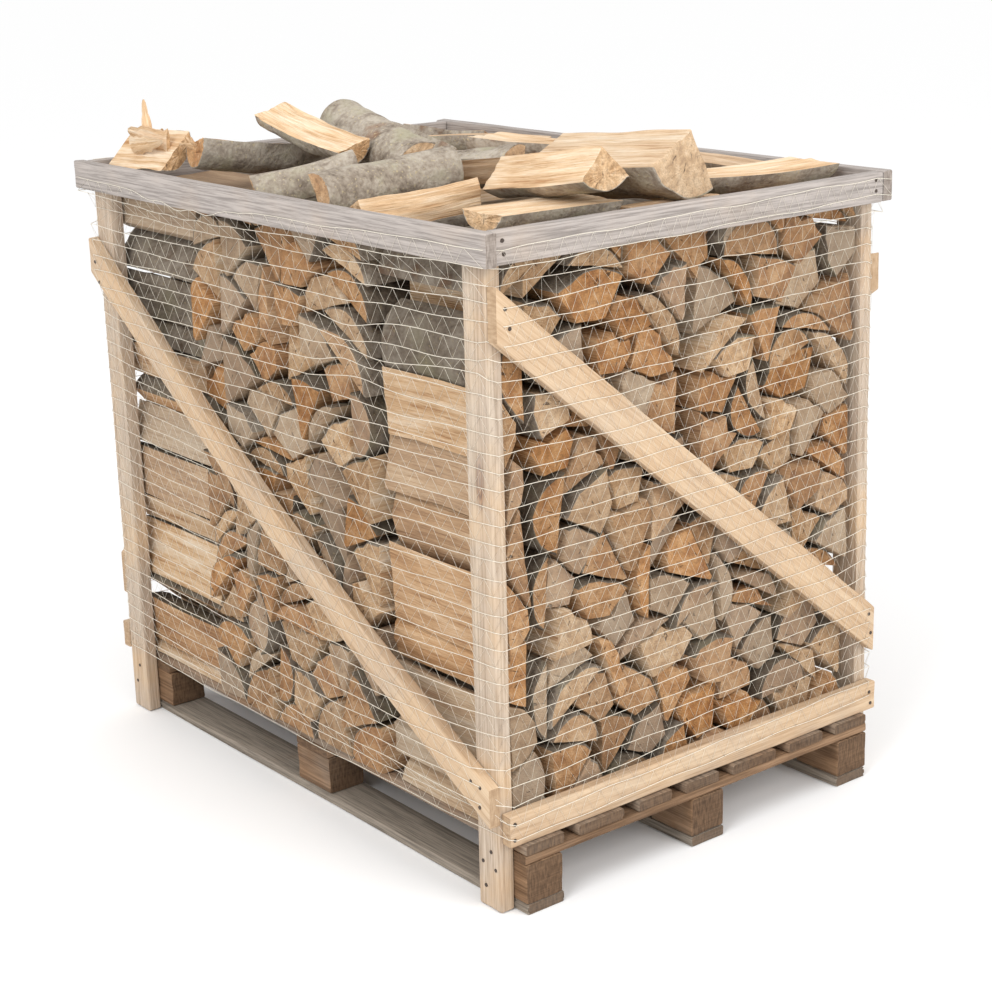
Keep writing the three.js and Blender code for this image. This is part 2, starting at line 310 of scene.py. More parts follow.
def plank(name, seed, axis, tone, aged, round_edge=0.0025, rough=0.0007, wane=0.0, steps=28):
    """A sawn board in place of the solid called name. Its section, a rectangle with round corners, is
    carried along axis between the solid's own corner points; ripples move the skin inward only, and
    wane wears hollows into the long edges."""
    rng = np.random.default_rng(seed)
    points = node_points(name)
    points = points[np.argsort(points[:, axis])].reshape(-1, 4, 3)
    side, up = (axis + 1) % 3, (axis + 2) % 3
    middle = points.mean(1, keepdims=True)
    turn = np.arctan2(points[..., up] - middle[..., up], points[..., side] - middle[..., side])
    points = np.take_along_axis(points, np.argsort(turn, 1)[..., None], 1)
    along = np.linalg.norm(np.diff(middle[:, 0], axis=0), axis=1)
    along = np.concatenate([[0], np.cumsum(along)])
    station = np.concatenate([[0, END_STEP], np.linspace(0, along[-1], steps)[1:-1],
                              [along[-1] - END_STEP, along[-1]]])
    corner = np.stack([[np.interp(station, along, points[:, c, x]) for x in range(3)] for c in range(4)])
    corner = corner.transpose(2, 0, 1)
    width = np.linalg.norm(corner[0, 1] - corner[0, 0])
    depth = np.linalg.norm(corner[0, 3] - corner[0, 0])
    section = rounded_rectangle(width, depth, round_edge)
    a, b = section[:, 0] / width, section[:, 1] / depth
    weight = np.stack([(1 - a) * (1 - b), a * (1 - b), a * b, (1 - a) * b], -1)
    body = np.einsum("nc,kcx->knx", weight, corner)
    outward = body - body.mean(1, keepdims=True)
    outward /= np.linalg.norm(outward, axis=2, keepdims=True)
    grain = np.array([0.03, 0.03, 0.03])
    grain[axis] = 0.25
    relief = np.minimum(rough * ripple(body, rng, grain) - rough, 0)
    if wane:
        edge = (np.abs(a - 0.5) > 0.49) & (np.abs(b - 0.5) > 0.2)
        relief = relief - wane * np.clip(ripple(body, rng, grain * 1.5), 0, 1) * edge
    body = body + outward * relief[..., None]
    core = body.mean(1, keepdims=True)
    lead = [core[:1] + (body[:1] - core[:1]) * s for s in CUT_RINGS[::-1]]
    tail = [core[-1:] + (body[-1:] - core[-1:]) * s for s in CUT_RINGS]
    for end in (0, -1):
        body[end] = core[end] + (body[end] - core[end]) * (1 - END_ROUNDING / max(width, depth))
    rings = np.concatenate(lead + [body] + tail)
    count, around = rings.shape[:2]
    length = np.concatenate([station[:1]] * 2 + [station] + [station[-1:]] * 2) + rng.uniform(0, 40)
    step = np.linalg.norm(np.diff(np.vstack([section, section[:1]]), axis=0), axis=1)
    round_way = np.concatenate([[0], np.cumsum(step)]) + rng.uniform(0, 9)
    lengthwise = np.repeat(length[:, None], around + 1, 1)
    across = np.repeat(round_way[None], count, 0)
    shrink = np.concatenate([CUT_RINGS[::-1], np.ones(len(station)), CUT_RINGS])
    closed = np.vstack([section, section[:1]]) - section.mean(0)
    plane = closed[None] * shrink[:, None, None] + rng.uniform(0, 9, 2)
    bands = np.zeros(count - 1, bool)
    bands[:2] = bands[-2:] = True
    rim = np.zeros(count - 1)
    return closed_skin(rings, lengthwise, across, bands, np.zeros(around), plane, rim, (tone, aged, 0.0))


def rounded_rectangle(width, depth, radius, corner_points=3, side_points=3):
    """Points round a rectangle whose lowest corner is (0, 0): quarter circles of radius at the corners,
    and a few points along each straight side."""
    turn = np.linspace(0, np.pi / 2, corner_points)
    rows = []
    right, top = width - radius, depth - radius
    for quarter, (x, y) in enumerate(((right, radius), (right, top), (radius, top), (radius, radius))):
        angle = turn + (quarter - 1) * np.pi / 2
        arc = np.stack([x + radius * np.cos(angle), y + radius * np.sin(angle)], -1)
        rows.append(arc)
    outline = []
    for here, there in zip(rows, rows[1:] + rows[:1]):
        share = np.linspace(0, 1, side_points + 2)[1:-1, None]
        outline += [here, here[-1] + (there[0] - here[-1]) * share]
    return np.concatenate(outline)


def timber_paint(name, pale, mid, dark, grey, knot_share):
    """Sawn timber: long fine streaks along the board, broad bands, a few knots, saw marks across, and
    grey weathering that follows each board's own age."""
    paint = Paint(name, 0.78, 0.18)
    uv = paint.uv()
    streak = paint.noise(paint.stretch(uv, (8, 260, 1)), 1.0, 4.0, 0.7)
    band = paint.noise(paint.stretch(uv, (2.2, 34, 1)), 1.0, 4.0, 0.6)
    colour = paint.ramp(paint.weigh(streak, 0.55, band, 0.45), (0.3, dark), (0.46, mid), (0.6, pale))
    warm = paint.mix(paint.face("tone"), (1.06, 1.03, 1.0, 1), (0.86, 0.8, 0.74, 1))
    colour = paint.mix(1.0, colour, warm, "MULTIPLY")
    cell = paint.add("TexVoronoi", "Distance", {"Vector": paint.stretch(uv, (3.4, 15, 1)), "Scale": 1.0})
    lot = paint.add("SeparateColor", 0, {"Color": cell.node.outputs["Color"]})
    chosen = paint.steps(lot, 1 - knot_share - 0.01, 1 - knot_share)
    knot = paint.maths("MULTIPLY", paint.maths("SUBTRACT", 1.0, paint.steps(cell, 0.1, 0.19)), chosen)
    ring = paint.maths("SINE", paint.times(cell, 120.0))
    knot_look = paint.ramp(paint.maths("MULTIPLY_ADD", ring, 0.25), (0.2, shade(96, 62, 38)),
                           (0.8, shade(168, 122, 80)))
    colour = paint.mix(knot, colour, knot_look)
    patch = paint.noise(paint.place(), 7.0, 4.0, 0.6)
    spread = paint.maths("ADD", patch, paint.times(paint.face("aged"), 0.5))
    weather = paint.maths("MULTIPLY", paint.steps(spread, 0.55, 0.93), paint.face("aged"))
    furrow = paint.steps(streak, 0.36, 0.6)
    worn = paint.mix(furrow, tuple(part * 0.55 for part in grey[:3]) + (1,), grey)
    colour = paint.mix(weather, colour, worn)
    ends = paint.ramp(paint.noise(paint.stretch(uv, (260, 60, 1)), 1.0, 3.0), (0.35, dark), (0.7, mid))
    colour = paint.glaze(paint.face("cut"), 0.75, colour, ends)
    saw = paint.noise(paint.stretch(uv, (420, 9, 1)), 1.0, 2.0)
    return paint.finish(colour, paint.weigh(streak, 0.8, saw, 0.35), 0.0012)


PALLET_TIMBER = timber_paint("pallet_timber", shade(150, 122, 96), shade(112, 88, 67), shade(66, 50, 38),
                             shade(150, 139, 126), 0.12)
pallet_rows = [(f"skid_{i}", 0, 0.3, 1.0, 0.006) for i in (1, 2, 3)]
pallet_rows += [(f"block_{i}_{j}", 0, 0.7, 0.35, 0.0) for i in (1, 2, 3) for j in (1, 2, 3)]
pallet_rows += [(f"stringer_{i}", 1, 0.05, 0.2, 0.002) for i in (1, 2, 3)]
pallet_rows += [(f"deck_board_{i}", 0, 0.6, 0.6, 0.003) for i in range(1, 8)]
for number, (name, axis, tone, aged, wane) in enumerate(pallet_rows):
    skin = plank(name, 100 + number, axis, tone, aged, 0.003, 0.0009, wane)
    make_piece(name + "_timber", [skin], PALLET_TIMBER, [name])


# Crate: four posts, a brace on each side and a rail on each short side, all of fresh pale sawn
# softwood about an inch thick, nailed to the outside of the posts.
FRESH_TIMBER = timber_paint("fresh_timber", shade(204, 183, 156), shade(187, 161, 132), shade(148, 120, 92),
                            shade(186, 176, 166), 0.1)
fresh_rows = [(f"post_{side}_{end}", 2, 0.1, 0.62) for side in ("near", "far") for end in ("left", "right")]
fresh_rows += [("brace_near", 0, 0.2, 0.35), ("brace_far", 0, 0.3, 0.4), ("brace_right", 1, 0.15, 0.3),
               ("brace_left", 1, 0.3, 0.4), ("rail_right", 1, 0.1, 0.35), ("rail_left", 1, 0.3, 0.5)]
for number, (name, axis, tone, aged) in enumerate(fresh_rows):
    skin = plank(name, 200 + number, axis, tone, aged)
    make_piece(name + "_timber", [skin], FRESH_TIMBER, [name])


# Top boards: four sawn boards on edge round the top of the crate, older than the rest and weathered
# to silver grey, nailed together at the corners.
GREY_TIMBER = timber_paint("grey_timber", shade(190, 178, 168), shade(160, 149, 140), shade(108, 96, 86),
                           shade(174, 167, 163), 0.06)
for number, (side, axis) in enumerate((("near", 0), ("far", 0), ("right", 1), ("left", 1))):
    name = f"top_board_{side}"
    skin = plank(name, 300 + number, axis, 0.4, 0.8)
    make_piece(name + "_timber", [skin], GREY_TIMBER, [name])


# Firewood: hardwood split into quarters, wedges and slabs and sawn to a foot long. The split faces are
# pale and ragged along the grain, the sawn ends tan to orange, and the bark grey to green-brown. It
# lies in three stacks, along the crate at each end and across it in the middle.
def split_look(paint, tone, aged, fibre, broad):
    """Split faces: long fibres and broad bands, pale or tan by the log's tone, greyed by its age."""
    grain = paint.weigh(fibre, 0.45, broad, 0.55)
    pale = paint.ramp(grain, (0.37, shade(182, 136, 92)), (0.49, shade(226, 193, 154)),
                      (0.6, shade(244, 224, 198)))
    tan = paint.ramp(grain, (0.37, shade(142, 96, 58)), (0.5, shade(196, 150, 104)),
                     (0.62, shade(224, 188, 148)))
    fresh = paint.mix(paint.steps(tone, 0.25, 0.75), pale, tan)
    return paint.glaze(aged, 0.75, fresh, paint.mix(fibre, shade(142, 128, 112), shade(214, 202, 184)))


def end_look(paint, uv, tone, aged, blotch, fine, place):
    """Sawn ends: blotches, year rings about the pith at the UV map's zero, dark drying cracks that run
    out from it, and fine and coarse stains. Gives the colour and the cracks."""
    pale = paint.ramp(blotch, (0.32, shade(186, 148, 106)), (0.5, shade(218, 182, 140)),
                      (0.66, shade(234, 206, 170)))
    tan = paint.ramp(blotch, (0.3, shade(158, 104, 60)), (0.5, shade(204, 150, 94)),
                     (0.68, shade(226, 180, 128)))
    end = paint.mix(paint.steps(tone, 0.25, 0.7), pale, tan)
    from_pith = paint.add("VectorMath", "Value", {0: uv}, operation="LENGTH")
    wavy = paint.weigh(from_pith, 1500.0, blotch, 9.0)
    rings = paint.maths("MULTIPLY_ADD", paint.maths("SINE", wavy), 0.5)
    end = paint.glaze(rings, 0.14, end, shade(150, 100, 60))
    parts = paint.add("SeparateXYZ", 0, {"Vector": uv})
    turn = paint.maths("ARCTAN2", parts.node.outputs[1], parts)
    spoke = paint.add("CombineXYZ", 0, {"X": paint.times(turn, 3.2), "Y": paint.times(from_pith, 9.0)})
    check = paint.steps(paint.noise(spoke, 2.2, 3.0, 0.7), 0.36, 0.32)
    end = paint.glaze(check, 0.85, end, shade(60, 40, 28))
    end = paint.glaze(paint.steps(fine, 0.55, 0.3), 0.35, end, shade(120, 84, 54))
    mottle = paint.noise(place, 85.0, 4.0, 0.7)
    end = paint.glaze(paint.steps(mottle, 0.52, 0.36), 0.4, end, shade(122, 88, 58))
    end = paint.glaze(paint.steps(mottle, 0.54, 0.68), 0.3, end, shade(242, 222, 192))
    grey = paint.mix(blotch, shade(150, 138, 122), shade(206, 194, 176))
    return paint.glaze(aged, 0.8, end, grey), check


def bark_look(paint, uv, tone, place, crust):
    """Bark: a grey crust with green and brown patches, pale specks and short dark dashes across."""
    cloud = paint.noise(place, 22.0, 3.0, 0.55)
    patch = paint.noise(place, 11.0, 3.0, 0.6)
    bark = paint.ramp(paint.weigh(crust, 0.4, cloud, 0.6), (0.34, shade(112, 100, 88)),
                      (0.47, shade(160, 148, 134)), (0.6, shade(192, 182, 168)))
    bark = paint.glaze(paint.steps(patch, 0.5, 0.72), 0.55, bark, shade(150, 146, 112))
    bark = paint.glaze(paint.steps(patch, 0.4, 0.27), 0.6, bark, shade(150, 112, 84))
    speck = paint.steps(paint.noise(place, 210.0, 1.0, 0.4), 0.66, 0.72)
    bark = paint.glaze(speck, 0.55, bark, shade(206, 190, 150))
    dash = paint.noise(paint.stretch(uv, (400, 70, 1)), 1.0, 2.0, 0.5)
    bark = paint.glaze(paint.steps(dash, 0.68, 0.76), 0.5, bark, shade(84, 70, 60))
    return paint.glaze(tone, 0.35, bark, shade(92, 84, 72))


# Painted shade: the colours that the bark, split faces and sawn ends of stacked logs are multiplied by.
BARK_SHADOW = (0.3, 0.275, 0.25, 1)
SPLIT_SHADOW, END_SHADOW = (0.74, 0.72, 0.7, 1), (0.53, 0.5, 0.48, 1)


def firewood_paint():
    """One material for all logs: face marks choose between split face, sawn end and bark, and a painted
    shade mark darkens the logs that lie deep in a stack, as painted shadow among them."""
    paint = Paint("firewood", 0.82, 0.14)
    uv, place = paint.uv(), paint.place()
    tone, aged = paint.face("tone"), paint.face("aged")
    cut, bark_mark, painted_shade = paint.face("cut"), paint.face("bark"), paint.face("painted_shade")
    fibre = paint.noise(paint.stretch(uv, (9, 300, 1)), 1.0, 4.0, 0.7)
    broad = paint.noise(paint.stretch(uv, (5, 38, 1)), 1.0, 4.0, 0.6)
    blotch = paint.noise(place, 26.0, 5.0, 0.62)
    fine = paint.noise(place, 330.0, 2.0, 0.6)
    crust = paint.noise(place, 120.0, 4.0, 0.6)
    end, check = end_look(paint, uv, tone, aged, blotch, fine, place)
    colour = paint.mix(cut, split_look(paint, tone, aged, fibre, broad), end)
    # Painted shade: logs deep in a stack are multiplied toward the shadow colours, bark the most, as far as
    # their shade mark goes.
    bark = paint.mix(painted_shade, bark_look(paint, uv, tone, place, crust), BARK_SHADOW, "MULTIPLY")
    colour = paint.mix(painted_shade, colour, paint.mix(cut, SPLIT_SHADOW, END_SHADOW), "MULTIPLY")
    colour = paint.mix(bark_mark, colour, bark)
    end_height = paint.maths("SUBTRACT", paint.times(fine, 0.6), paint.times(check, 1.2))
    height = paint.mix(cut, paint.weigh(fibre, 1.0, broad, 1.2), end_height)
    height = paint.mix(bark_mark, height, crust)
    return paint.finish(colour, height, 0.0036)


FIREWOOD = firewood_paint()


def log_outline(corners, bark_edges, pith, count):
    """Points round a split log's section, about count of them. The straight split edges keep their
    corners; a bark edge bulges out to the circle about the pith that its two corners lie on."""
    following = np.roll(corners, -1, 0)
    edge = np.linalg.norm(following - corners, axis=1)
    number = np.maximum(1, np.round(edge / edge.sum() * count).astype(int))
    which = np.repeat(np.arange(len(corners)), number)
    share = np.concatenate([np.arange(n) / n for n in number])
    outline = corners[which] + (following - corners)[which] * share[:, None]
    reach = np.linalg.norm(corners - pith, axis=1)
    wanted = reach[which] * (1 - share) + np.roll(reach, -1)[which] * share
    arm = outline - pith
    arc = pith + arm / np.maximum(np.linalg.norm(arm, axis=1), 1e-6)[:, None] * wanted[:, None]
    bark = bark_edges[which]
    outline = np.where(bark[:, None], arc, outline)
    return outline, bark.astype(float)


SAW_STEP = 0.0025
END_TAPER = 0.975
ASKEW = 0.025
SAWN_RINGS = np.array([0.955, 0.5])
SAWN_ROUGH = 0.0006


def log_skin(corners, bark_edges, pith, start, along, length, across, upward, rng, looks,
             count=22, steps=5, ragged=0.0016, bow=0.002):
    """A split log: its outline carried from start for length in the direction along, across and upward
    being the section's own axes. Ripples long with the grain make the split faces ragged, a finer
    ripple roughens the bark, a slight bow bends the whole, and each end is sawn a little askew."""
    outline, bark = log_outline(corners, bark_edges, pith, count)
    around = len(outline)
    inside = np.linspace(0, length, steps)[1:-1]
    station = np.concatenate([[0, SAW_STEP], inside, [length - SAW_STEP, length]])
    flat = np.concatenate([np.repeat(station[:, None, None], around, 1),
                           np.repeat(outline[None], len(station), 0)], -1)
    middle = outline.mean(0)
    out = outline - middle
    out /= np.linalg.norm(out, axis=1, keepdims=True)
    grain = flat + rng.uniform(0, 5, 3)
    split_relief = 0.7 * ripple(grain, rng, (0.22, 0.035, 0.035))
    split_relief = split_relief + 0.45 * ripple(grain, rng, (0.06, 0.012, 0.012), 20)
    bark_relief = ripple(grain, rng, (0.05, 0.03, 0.03), 16)
    relief = np.where(bark[None] > 0, bark_relief * ragged * 0.6, split_relief * ragged) - ragged * 0.5
    section = flat[..., 1:] + out[None] * relief[..., None]
    bend = np.sin(np.pi * station / length)[:, None] * rng.normal(0, bow, 2)
    section = section + bend[:, None]
    for end in (0, -1):
        section[end] = middle + (section[end] - middle) * END_TAPER
    askew = rng.normal(0, ASKEW, (2, 2))
    rise = flat[..., 0].copy()
    rise[:2] += ((outline - middle) @ askew[0])[None]
    rise[-2:] += ((outline - middle) @ askew[1])[None]

    def sawn(ring, share):
        return np.mean(ring) + (ring - np.mean(ring)) * share + rng.normal(0, SAWN_ROUGH, (1, around))

    lead_section = [middle + (section[:1] - middle) * s for s in SAWN_RINGS[::-1]]
    tail_section = [middle + (section[-1:] - middle) * s for s in SAWN_RINGS]
    lead_rise = [sawn(rise[:1], s) for s in SAWN_RINGS[::-1]]
    tail_rise = [sawn(rise[-1:], s) for s in SAWN_RINGS]
    section = np.concatenate(lead_section + [section] + tail_section)
    rise = np.concatenate(lead_rise + [rise] + tail_rise)
    rings = (start + rise[..., None] * along + section[..., :1] * across + section[..., 1:] * upward)
    total = len(rings)
    closed = np.concatenate([section, section[:, :1]], 1)
    step = np.linalg.norm(np.diff(np.vstack([outline, outline[:1]]), axis=0), axis=1)
    round_way = np.concatenate([[0], np.cumsum(step)]) + rng.uniform(0, 7)
    lengthwise = np.concatenate([rise, rise[:, :1]], 1) + rng.uniform(0, 30)
    bands = np.zeros(total - 1, bool)
    bands[:2] = bands[-2:] = True
    rim = np.zeros(total - 1)
    rim[1] = rim[-2] = 1.0
    return closed_skin(rings, lengthwise, np.repeat(round_way[None], total, 0), bands, bark, closed - pith,
                       rim, looks)


def split_section(rng):
    """A split log's section: an arc of bark about the pith at (0, 0), closed by split faces that run to
    the pith, to a short inner edge, or straight across. Gives its corners and which edges are bark."""
    kind = rng.choice(5, p=(0.32, 0.26, 0.1, 0.22, 0.1))
    half = np.radians((rng.uniform(34, 48), rng.uniform(20, 31), rng.uniform(78, 92), rng.uniform(20, 32),
                       rng.uniform(48, 62))[kind])
    radius = (rng.uniform(0.086, 0.122), rng.uniform(0.1, 0.138), rng.uniform(0.052, 0.072),
              rng.uniform(0.105, 0.145), rng.uniform(0.074, 0.1))[kind]
    bare = rng.random() < 0.34
    angle = np.linspace(-half, half, 6)
    uneven = rng.uniform(0.86, 1.06, (6, 1)) if bare else rng.uniform(0.96, 1.03, (6, 1))
    arc = radius * np.stack([np.cos(angle), np.sin(angle)], -1) * uneven
    inner = {0: [(0, 0)], 1: [(0.08, 0.03), (0.08, -0.03)], 3: [(0.38, 0.2), (0.38, -0.2)]}.get(kind, [])
    corners = np.vstack([arc] + [radius * np.array([p]) * rng.uniform(0.7, 1.3) for p in inner])
    bark_edges = (np.arange(len(corners)) < 5) & (not bare)
    return corners, bark_edges


def turned(corners, angle):
    """A section's corners turned by this angle about its pith."""
    return corners @ np.array([[np.cos(angle), np.sin(angle)], [-np.sin(angle), np.cos(angle)]])


RULER = 0.004
EDGE_GAP = 14  # a log touches the bin's wall or keeps this many ruler steps from it
MISSES = 14
SHRINK = 0.94


def profiles(corners):
    """Lowest and highest outline point over each ruler step of a section's width."""
    share = np.linspace(0, 1, 30, endpoint=False)[None, :, None]
    points = (corners[:, None] * (1 - share) + np.roll(corners, -1, 0)[:, None] * share).reshape(-1, 2)
    left = points[:, 0].min()
    column = ((points[:, 0] - left) / RULER).astype(int)
    low, high = np.full(column.max() + 1, np.inf), np.full(column.max() + 1, -np.inf)
    np.minimum.at(low, column, points[:, 1])
    np.maximum.at(high, column, points[:, 1])
    return left, low, high


def stack_sections(width, height, rng, tries=9, turns=8):
    """Lays sections into a bin of this width and height, one at a time. The skyline is a row of heights
    on the ruler; each of several sections, in several turns, slides along it, and the one that lies low
    with the least air under it stays. Sections shrink by SHRINK each time none finds room, and the bin
    is full after MISSES of those. Gives (corners, bark_edges, pith) for each."""
    skyline = np.zeros(int(width / RULER))
    laid = []
    misses = 0
    while misses < MISSES:
        best = None
        for _ in range(tries):
            corners, bark_edges = split_section(rng)
            corners = corners * SHRINK ** misses
            for angle in rng.uniform(0, 2 * np.pi, turns):
                shape = turned(corners, angle)
                left, low, high = profiles(shape)
                if len(low) >= len(skyline):
                    continue
                under = np.lib.stride_tricks.sliding_window_view(skyline, len(low))
                rest = (under - low).max(1)
                air = (rest[:, None] + low - under).mean(1)
                cost = rest + 0.34 * high.max() + 0.3 * low.min() + 2.6 * air
                cost[rest + high.max() > height] = np.inf
                cost[1:EDGE_GAP] = np.inf
                cost[max(len(cost) - EDGE_GAP, 1):-1] = np.inf
                place = int(cost.argmin())
                if np.isfinite(cost[place]) and (best is None or cost[place] < best[0]):
                    best = (cost[place], place, rest[place], shape, bark_edges, left, low, high)
        if best is None:
            misses += 1
            continue
        _, place, rest, shape, bark_edges, left, low, high = best
        skyline[place:place + len(low)] = np.maximum(skyline[place:place + len(low)], rest + high)
        move = np.array([place * RULER - left, rest])
        laid.append((shape + move, bark_edges, move))
    return laid


def stack_skins(low, high, axis, rows, seed, gap=0.0012):
    """Logs that fill the box low to high, lying along axis 0 (X) or 1 (Y), in so many rows end to end."""
    rng = np.random.default_rng(seed)
    skins = []
    side = 1 - axis
    depth = (high[axis] - low[axis]) / rows
    for row in range(rows):
        for corners, bark_edges, pith in stack_sections(high[side] - low[side], high[2] - low[2], rng):
            middle = corners.mean(0)
            corners = middle + (corners - middle) * (1 - gap / np.abs(corners - middle).max())
            back, front = rng.beta(1.2, 2.0, 2) * (0.03 if rows == 1 else 0.026)
            start = np.array([0.0, 0.0, low[2]])
            start[side] = low[side]
            along, across = np.zeros(3), np.zeros(3)
            across[side] = 1
            if axis == 0:
                start[0] = low[0] + depth * row + back
                along[0] = 1
            else:
                start[1] = high[1] - depth * row - back
                along[1] = -1
            aged = rng.choice((rng.uniform(0, 0.35), rng.uniform(0.55, 0.95)), p=(0.7, 0.3))
            # The third look is painted shade, 0.55 to 1, that darkens each stacked log as if in shadow among
            # its neighbours.
            looks = (rng.beta(1.1, 1.1), aged, rng.uniform(0.55, 1.0))
            skins.append(log_skin(corners, bark_edges, pith, start, along, depth - back - front, across,
                                  np.array([0, 0, 1.0]), rng, looks, count=18, steps=5 if rows == 1 else 3))
    return skins


STACKS = (("stack_right", 0, 1, 11), ("stack_left", 0, 1, 12), ("stack_middle", 1, 3, 13))
for name, axis, rows, seed in STACKS:
    low, high = (np.array(corner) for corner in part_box(name))
    make_piece(name + "_logs", stack_skins(low, high, axis, rows, seed), FIREWOOD, [name], 32)


# Heap: twenty loose logs of the same split hardwood, thrown on top of the stacks. The upper ones have
# a tone and an age of their own and the rest share one.
HEAP_LOOKS = {
    1: (0.15, 0.1), 2: (0.5, 0.3), 3: (0.35, 0.1), 4: (0.5, 0.3), 5: (0.7, 0.2),
    6: (0.3, 0.2), 7: (0.1, 0.0), 8: (0.1, 0.1), 14: (0.3, 0.4), 15: (0.25, 0.1),
    16: (0.5, 0.4), 17: (0.4, 0.4), 18: (0.3, 0.3), 19: (0.1, 0.0), 20: (0.0, 0.0),
}
OTHER_LOOK = (0.5, 0.4)
BARE_LOGS = (3,)


def heap_log(number):
    """A loose log in place of its faceted prism. The prism's long axis is its points' main direction;
    its bark edges are those of the commonest length, and the pith is the centre of their circle."""
    rng = np.random.default_rng(400 + number)
    points = node_points(f"loose_log_{number:02d}")
    centre = points.mean(0)
    along = np.linalg.svd(points - centre)[2][0]
    reach = (points - centre) @ along
    face = points[reach > 0]
    across = np.cross((0, 0, 1.0), along)
    across /= np.linalg.norm(across)
    upward = np.cross(along, across)
    flat = np.stack([(face - centre) @ across, (face - centre) @ upward], -1)
    flat = flat[np.argsort(np.arctan2(*(flat - flat.mean(0)).T[::-1]))]
    edge = np.linalg.norm(np.roll(flat, -1, 0) - flat, axis=1)
    bark_edges = np.abs(edge - np.median(edge)) < 0.02 * np.median(edge)
    arc = flat[bark_edges | np.roll(bark_edges, 1)]
    circle = np.column_stack([2 * arc, np.ones(len(arc))])
    pith = np.linalg.lstsq(circle, (arc ** 2).sum(1), rcond=None)[0][:2]
    if number in BARE_LOGS:
        bark_edges[:] = False
    looks = (*HEAP_LOOKS.get(number, OTHER_LOOK), 0.0)
    length = np.ptp(reach)
    return log_skin(flat, bark_edges, pith, centre - along * length / 2, along, length, across, upward, rng,
                    looks, count=72, steps=44, ragged=0.003, bow=0.003)


for number in range(1, 21):
    name = f"loose_log_{number:02d}"
    make_piece(name + "_birch", [heap_log(number)], FIREWOOD, [name], 40)


# Splinters: long torn slivers of pale wood that stand from the broken slab at the near left corner,
# and short ones at torn ends. Each is a flat blade that narrows to a point, set in the log's wood.
BLADE_RINGS = 12


def splinter(base, tip, width, thick, rng):
    """A closed blade from base to tip: six corners round, its width falling with the root of the way
    left to the tip, with a ragged edge and a slight curl."""
    base, tip = np.array(base), np.array(tip)
    way = np.linspace(0, 1, BLADE_RINGS)
    reach = tip - base
    aside = np.cross(reach, (-0.6, 0.8, 0.1))
    aside /= np.linalg.norm(aside)
    out = np.cross(aside, reach / np.linalg.norm(reach))
    angle = -np.arange(6) * np.pi / 3
    taper = np.sqrt(1.02 - way) * (1 + rng.normal(0, 0.12, BLADE_RINGS))
    curl = 0.06 * np.linalg.norm(reach) * (way ** 2)[:, None] * out
    rings = (base + reach * way[:, None] + curl)[:, None]
    rings = rings + (width / 2 * taper)[:, None, None] * np.cos(angle)[None, :, None] * aside
    rings = rings + (thick / 2 * taper)[:, None, None] * np.sin(angle)[None, :, None] * out
    along = np.repeat(way[:, None] * np.linalg.norm(reach), 7, 1) + rng.uniform(0, 9)
    across = np.repeat(np.arange(7)[None] * width / 3, BLADE_RINGS, 0)
    return plain_skin(rings, along, across, (0.0, 0.0, 0.0))


rng = np.random.default_rng(71)
broken_low, broken_high = (np.array(corner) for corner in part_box("loose_log_20"))
root = np.array((broken_low[0] + 0.095, broken_low[1] + 0.05, broken_high[2] - 0.02))
blades = [splinter(root, root + (-0.022, 0.004, 0.072), 0.024, 0.007, rng),
          splinter(root + (0.018, 0.01, -0.004), root + (0.05, 0.0, 0.022), 0.02, 0.006, rng),
          splinter(root + (-0.05, 0.012, -0.006), root + (-0.085, 0.006, 0.012), 0.03, 0.008, rng),
          splinter(root + (0.07, 0.0, -0.004), root + (-0.07, -0.012, 0.012), 0.055, 0.008, rng),
          splinter(root + (-0.03, -0.02, -0.012), root + (0.088, -0.028, 0.004), 0.04, 0.009, rng)]
torn_low, torn_high = (np.array(corner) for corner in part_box("loose_log_05"))
for share in rng.uniform(0.1, 0.46, 7):
    root = np.array((torn_low[0] + share * (torn_high[0] - torn_low[0]), torn_low[1] + 0.022,
                     torn_high[2] - 0.024))
    tip = root + (rng.normal(0, 0.008), rng.uniform(-0.03, 0.0), rng.uniform(0.006, 0.026))
    blades.append(splinter(root, tip, rng.uniform(0.008, 0.018), 0.005, rng))
make_piece("torn_splinters", blades, FIREWOOD, [])


# Nails: dark heads a few millimetres wide, sunk in the boards at the post feet, the brace ends, the
# rail ends and the corners of the top boards.
NAIL_RADIUS, NAIL_PROUD, NAIL_DEEP = 0.0032, 0.0004, 0.004


def nail_heads(axis, face, places):
    """Round heads on the face of a board square to axis (0 for X, 1 for Y); places are metres across
    and up. Each is a short tube with a fan at each end, half sunk in the wood."""
    skins = []
    angle = np.arange(10) * np.pi / 5
    for across, up in places:
        station = face + np.array((-NAIL_DEEP, 0.0, NAIL_PROUD)) * (1 if face > 0 else -1)
        rings = np.zeros((3, 10, 3))
        rings[..., axis] = station[:, None]
        rings[..., 1 - axis] = across + NAIL_RADIUS * np.cos(angle)
        rings[..., 2] = up + NAIL_RADIUS * np.sin(angle)
        if (face > 0) == (axis == 1):
            rings = rings[:, ::-1]
        skins.append(plain_skin(rings, np.zeros((3, 11)), np.zeros((3, 11)), (0.5, 0.5, 0.0)))
    return skins


